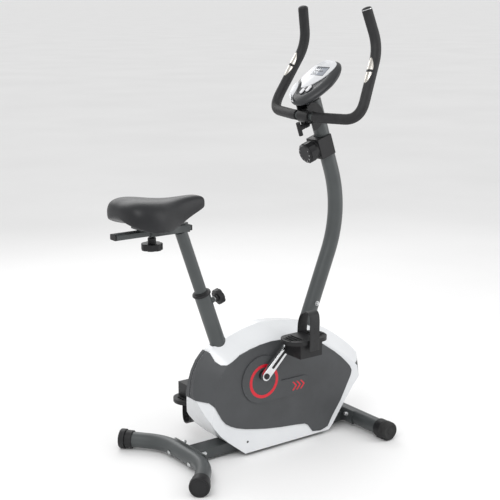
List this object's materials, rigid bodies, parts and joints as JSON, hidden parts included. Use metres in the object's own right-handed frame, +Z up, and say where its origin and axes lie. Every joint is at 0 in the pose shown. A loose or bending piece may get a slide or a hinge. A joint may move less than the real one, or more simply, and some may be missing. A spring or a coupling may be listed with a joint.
{
  "type": "upright exercise bike",
  "caption": "Upright magnetic exercise bike with a white and grey casing, padded saddle, strapped pedals, upswept foam-covered handlebar and a small display.",
  "frame": {"origin": "middle of the footprint, on the floor", "axes": "+X is the way the rider faces, +Y the rider's left, +Z up"},
  "size_m": [0.923, 0.5006, 1.4004],
  "materials": {
    "frame_paint": "dark grey powder coat, satin, on welded round steel tube",
    "black_plastic": "moulded black plastic, matte",
    "panel_plastic": "dark grey moulded plastic, fine grain",
    "shell_plastic": "white moulded plastic, glossy",
    "grip_foam": "closed-cell black foam, matte",
    "saddle_vinyl": "dark grey vinyl over foam, soft sheen",
    "crank_chrome": "polished chrome plate",
    "sensor_steel": "bright pressed steel touch plate",
    "bolt_zinc": "zinc-plated fasteners",
    "drive_steel": "plain machined steel",
    "flywheel_iron": "turned cast iron with a plain rim",
    "tyre_rubber": "black rubber, matte",
    "screen_lcd": "grey-green display behind a clear window",
    "button_plastic": "white soft-touch push buttons"
  },
  "bodies": {
    "frame": {"main_beam": "frame_paint", "rear_bolt_left": "bolt_zinc", "rear_bolt_right": "bolt_zinc", "front_bolt_left": "bolt_zinc", "front_bolt_right": "bolt_zinc", "rear_stabilizer": "frame_paint", "front_stabilizer": "frame_paint", "rear_cap_left": "black_plastic", "rear_cap_right": "black_plastic", "front_cap_left": "black_plastic", "front_cap_right": "black_plastic", "seat_tube": "frame_paint", "post_stub": "frame_paint", "crank_cartridge": "drive_steel", "drive_belt": "tyre_rubber", "casing_left": "shell_plastic", "casing_right": "shell_plastic", "side_panel_left": "panel_plastic", "side_panel_right": "panel_plastic", "steering_post": "frame_paint", "post_cross_bolt": "bolt_zinc", "post_front_bolt": "bolt_zinc", "seat_tube_collar": "black_plastic", "clamp_base": "black_plastic", "clamp_cap": "black_plastic", "tension_housing": "black_plastic", "tension_cable": "tyre_rubber", "console_body": "panel_plastic", "console_face": "shell_plastic", "console_screen": "screen_lcd"},
    "transport_wheel_left": {"transport_wheel_left": "tyre_rubber"},
    "transport_wheel_right": {"transport_wheel_right": "tyre_rubber"},
    "crankset": {"crank_axle": "drive_steel", "drive_pulley": "black_plastic", "crank_arm_left": "crank_chrome", "crank_arm_right": "crank_chrome"},
    "flywheel": {"flywheel": "flywheel_iron"},
    "pedal_left": {"pedal_left": "black_plastic", "pedal_strap_left": "tyre_rubber"},
    "pedal_right": {"pedal_right": "black_plastic", "pedal_strap_right": "tyre_rubber"},
    "magnet_yoke": {"magnet_yoke": "drive_steel"},
    "tension_knob": {"tension_knob": "black_plastic"},
    "height_pin_knob": {"height_pin_knob": "black_plastic"},
    "seat_post": {"seat_post": "frame_paint"},
    "saddle_slider": {"seat_slider": "frame_paint", "slider_cap_rear": "black_plastic", "slider_cap_front": "black_plastic", "saddle": "saddle_vinyl"},
    "slide_knob": {"slide_knob": "black_plastic"},
    "handlebar": {"handlebar": "frame_paint", "grip_left": "grip_foam", "grip_right": "grip_foam", "end_plug_left": "black_plastic", "end_plug_right": "black_plastic", "pulse_sensor_left": "sensor_steel", "pulse_sensor_right": "sensor_steel"},
    "clamp_knob": {"clamp_knob": "black_plastic"},
    "button_mode": {"button_mode": "button_plastic"},
    "button_reset": {"button_reset": "button_plastic"}
  },
  "joints": [
    {"name": "transport_wheel_left_spin", "type": "hinge", "parent": "frame", "child": "transport_wheel_left", "pos_m": [0.4185, 0.231, 0.032], "axis": [0, 1, 0], "continuous": true},
    {"name": "transport_wheel_right_spin", "type": "hinge", "parent": "frame", "child": "transport_wheel_right", "pos_m": [0.4185, -0.231, 0.032], "axis": [0, 1, 0], "continuous": true},
    {"name": "crank_spin", "type": "hinge", "parent": "frame", "child": "crankset", "pos_m": [0.0185, 0, 0.265], "axis": [0, 1, 0], "continuous": true},
    {"name": "flywheel_spin", "type": "hinge", "parent": "frame", "child": "flywheel", "pos_m": [0.3025, 0, 0.17], "axis": [0, 1, 0], "continuous": true},
    {"name": "pedal_left_spin", "type": "hinge", "parent": "crankset", "child": "pedal_left", "pos_m": [-0.0858, 0.152, 0.16428], "axis": [0, 1, 0], "continuous": true},
    {"name": "pedal_right_spin", "type": "hinge", "parent": "crankset", "child": "pedal_right", "pos_m": [0.1228, -0.152, 0.36573], "axis": [0, 1, 0], "continuous": true},
    {"name": "tension_knob_turn", "type": "hinge", "parent": "frame", "child": "tension_knob", "pos_m": [0.32092, 0, 0.966], "axis": [-0.9459, 0, -0.3244], "range_deg": [0, 270]},
    {"name": "magnet_yoke_lift", "type": "hinge", "parent": "frame", "child": "magnet_yoke", "pos_m": [0.2505, 0, 0.264], "axis": [0, -1, 0], "range_deg": [0, 6]},
    {"name": "height_pin_pull", "type": "slide", "parent": "frame", "child": "height_pin_knob", "axis": [0.9432, 0, 0.3322], "range_m": [0, 0.012], "stiffness_N_per_m": 1200, "springref_m": -0.005},
    {"name": "seat_height", "type": "slide", "parent": "frame", "child": "seat_post", "axis": [-0.3322, 0, 0.9432], "range_m": [-0.1, 0.075]},
    {"name": "saddle_fore_aft", "type": "slide", "parent": "seat_post", "child": "saddle_slider", "axis": [1, 0, 0], "range_m": [-0.04, 0.04]},
    {"name": "slide_knob_turn", "type": "hinge", "parent": "seat_post", "child": "slide_knob", "pos_m": [-0.3315, 0, 0.715], "axis": [0, 0, -1], "range_deg": [0, 360]},
    {"name": "handlebar_angle", "type": "hinge", "parent": "frame", "child": "handlebar", "pos_m": [0.2445, 0, 1.06], "axis": [0, 1, 0], "range_deg": [-20, 20]},
    {"name": "clamp_knob_turn", "type": "hinge", "parent": "frame", "child": "clamp_knob", "pos_m": [0.25326, 0, 1.03446], "axis": [-0.9459, 0, -0.3244], "range_deg": [0, 360]},
    {"name": "button_mode_press", "type": "slide", "parent": "frame", "child": "button_mode", "axis": [0.6361, 0, -0.7716], "range_m": [0, 0.0012], "stiffness_N_per_m": 500, "springref_m": -0.0006},
    {"name": "button_reset_press", "type": "slide", "parent": "frame", "child": "button_reset", "axis": [0.6361, 0, -0.7716], "range_m": [0, 0.0012], "stiffness_N_per_m": 500, "springref_m": -0.0006}
  ],
  "couplings": [
    {"joint": "flywheel_spin", "follows": "crank_spin", "ratio": 4.4545},
    {"joint": "magnet_yoke_lift", "follows": "tension_knob_turn", "ratio": 0.022222}
  ]
}
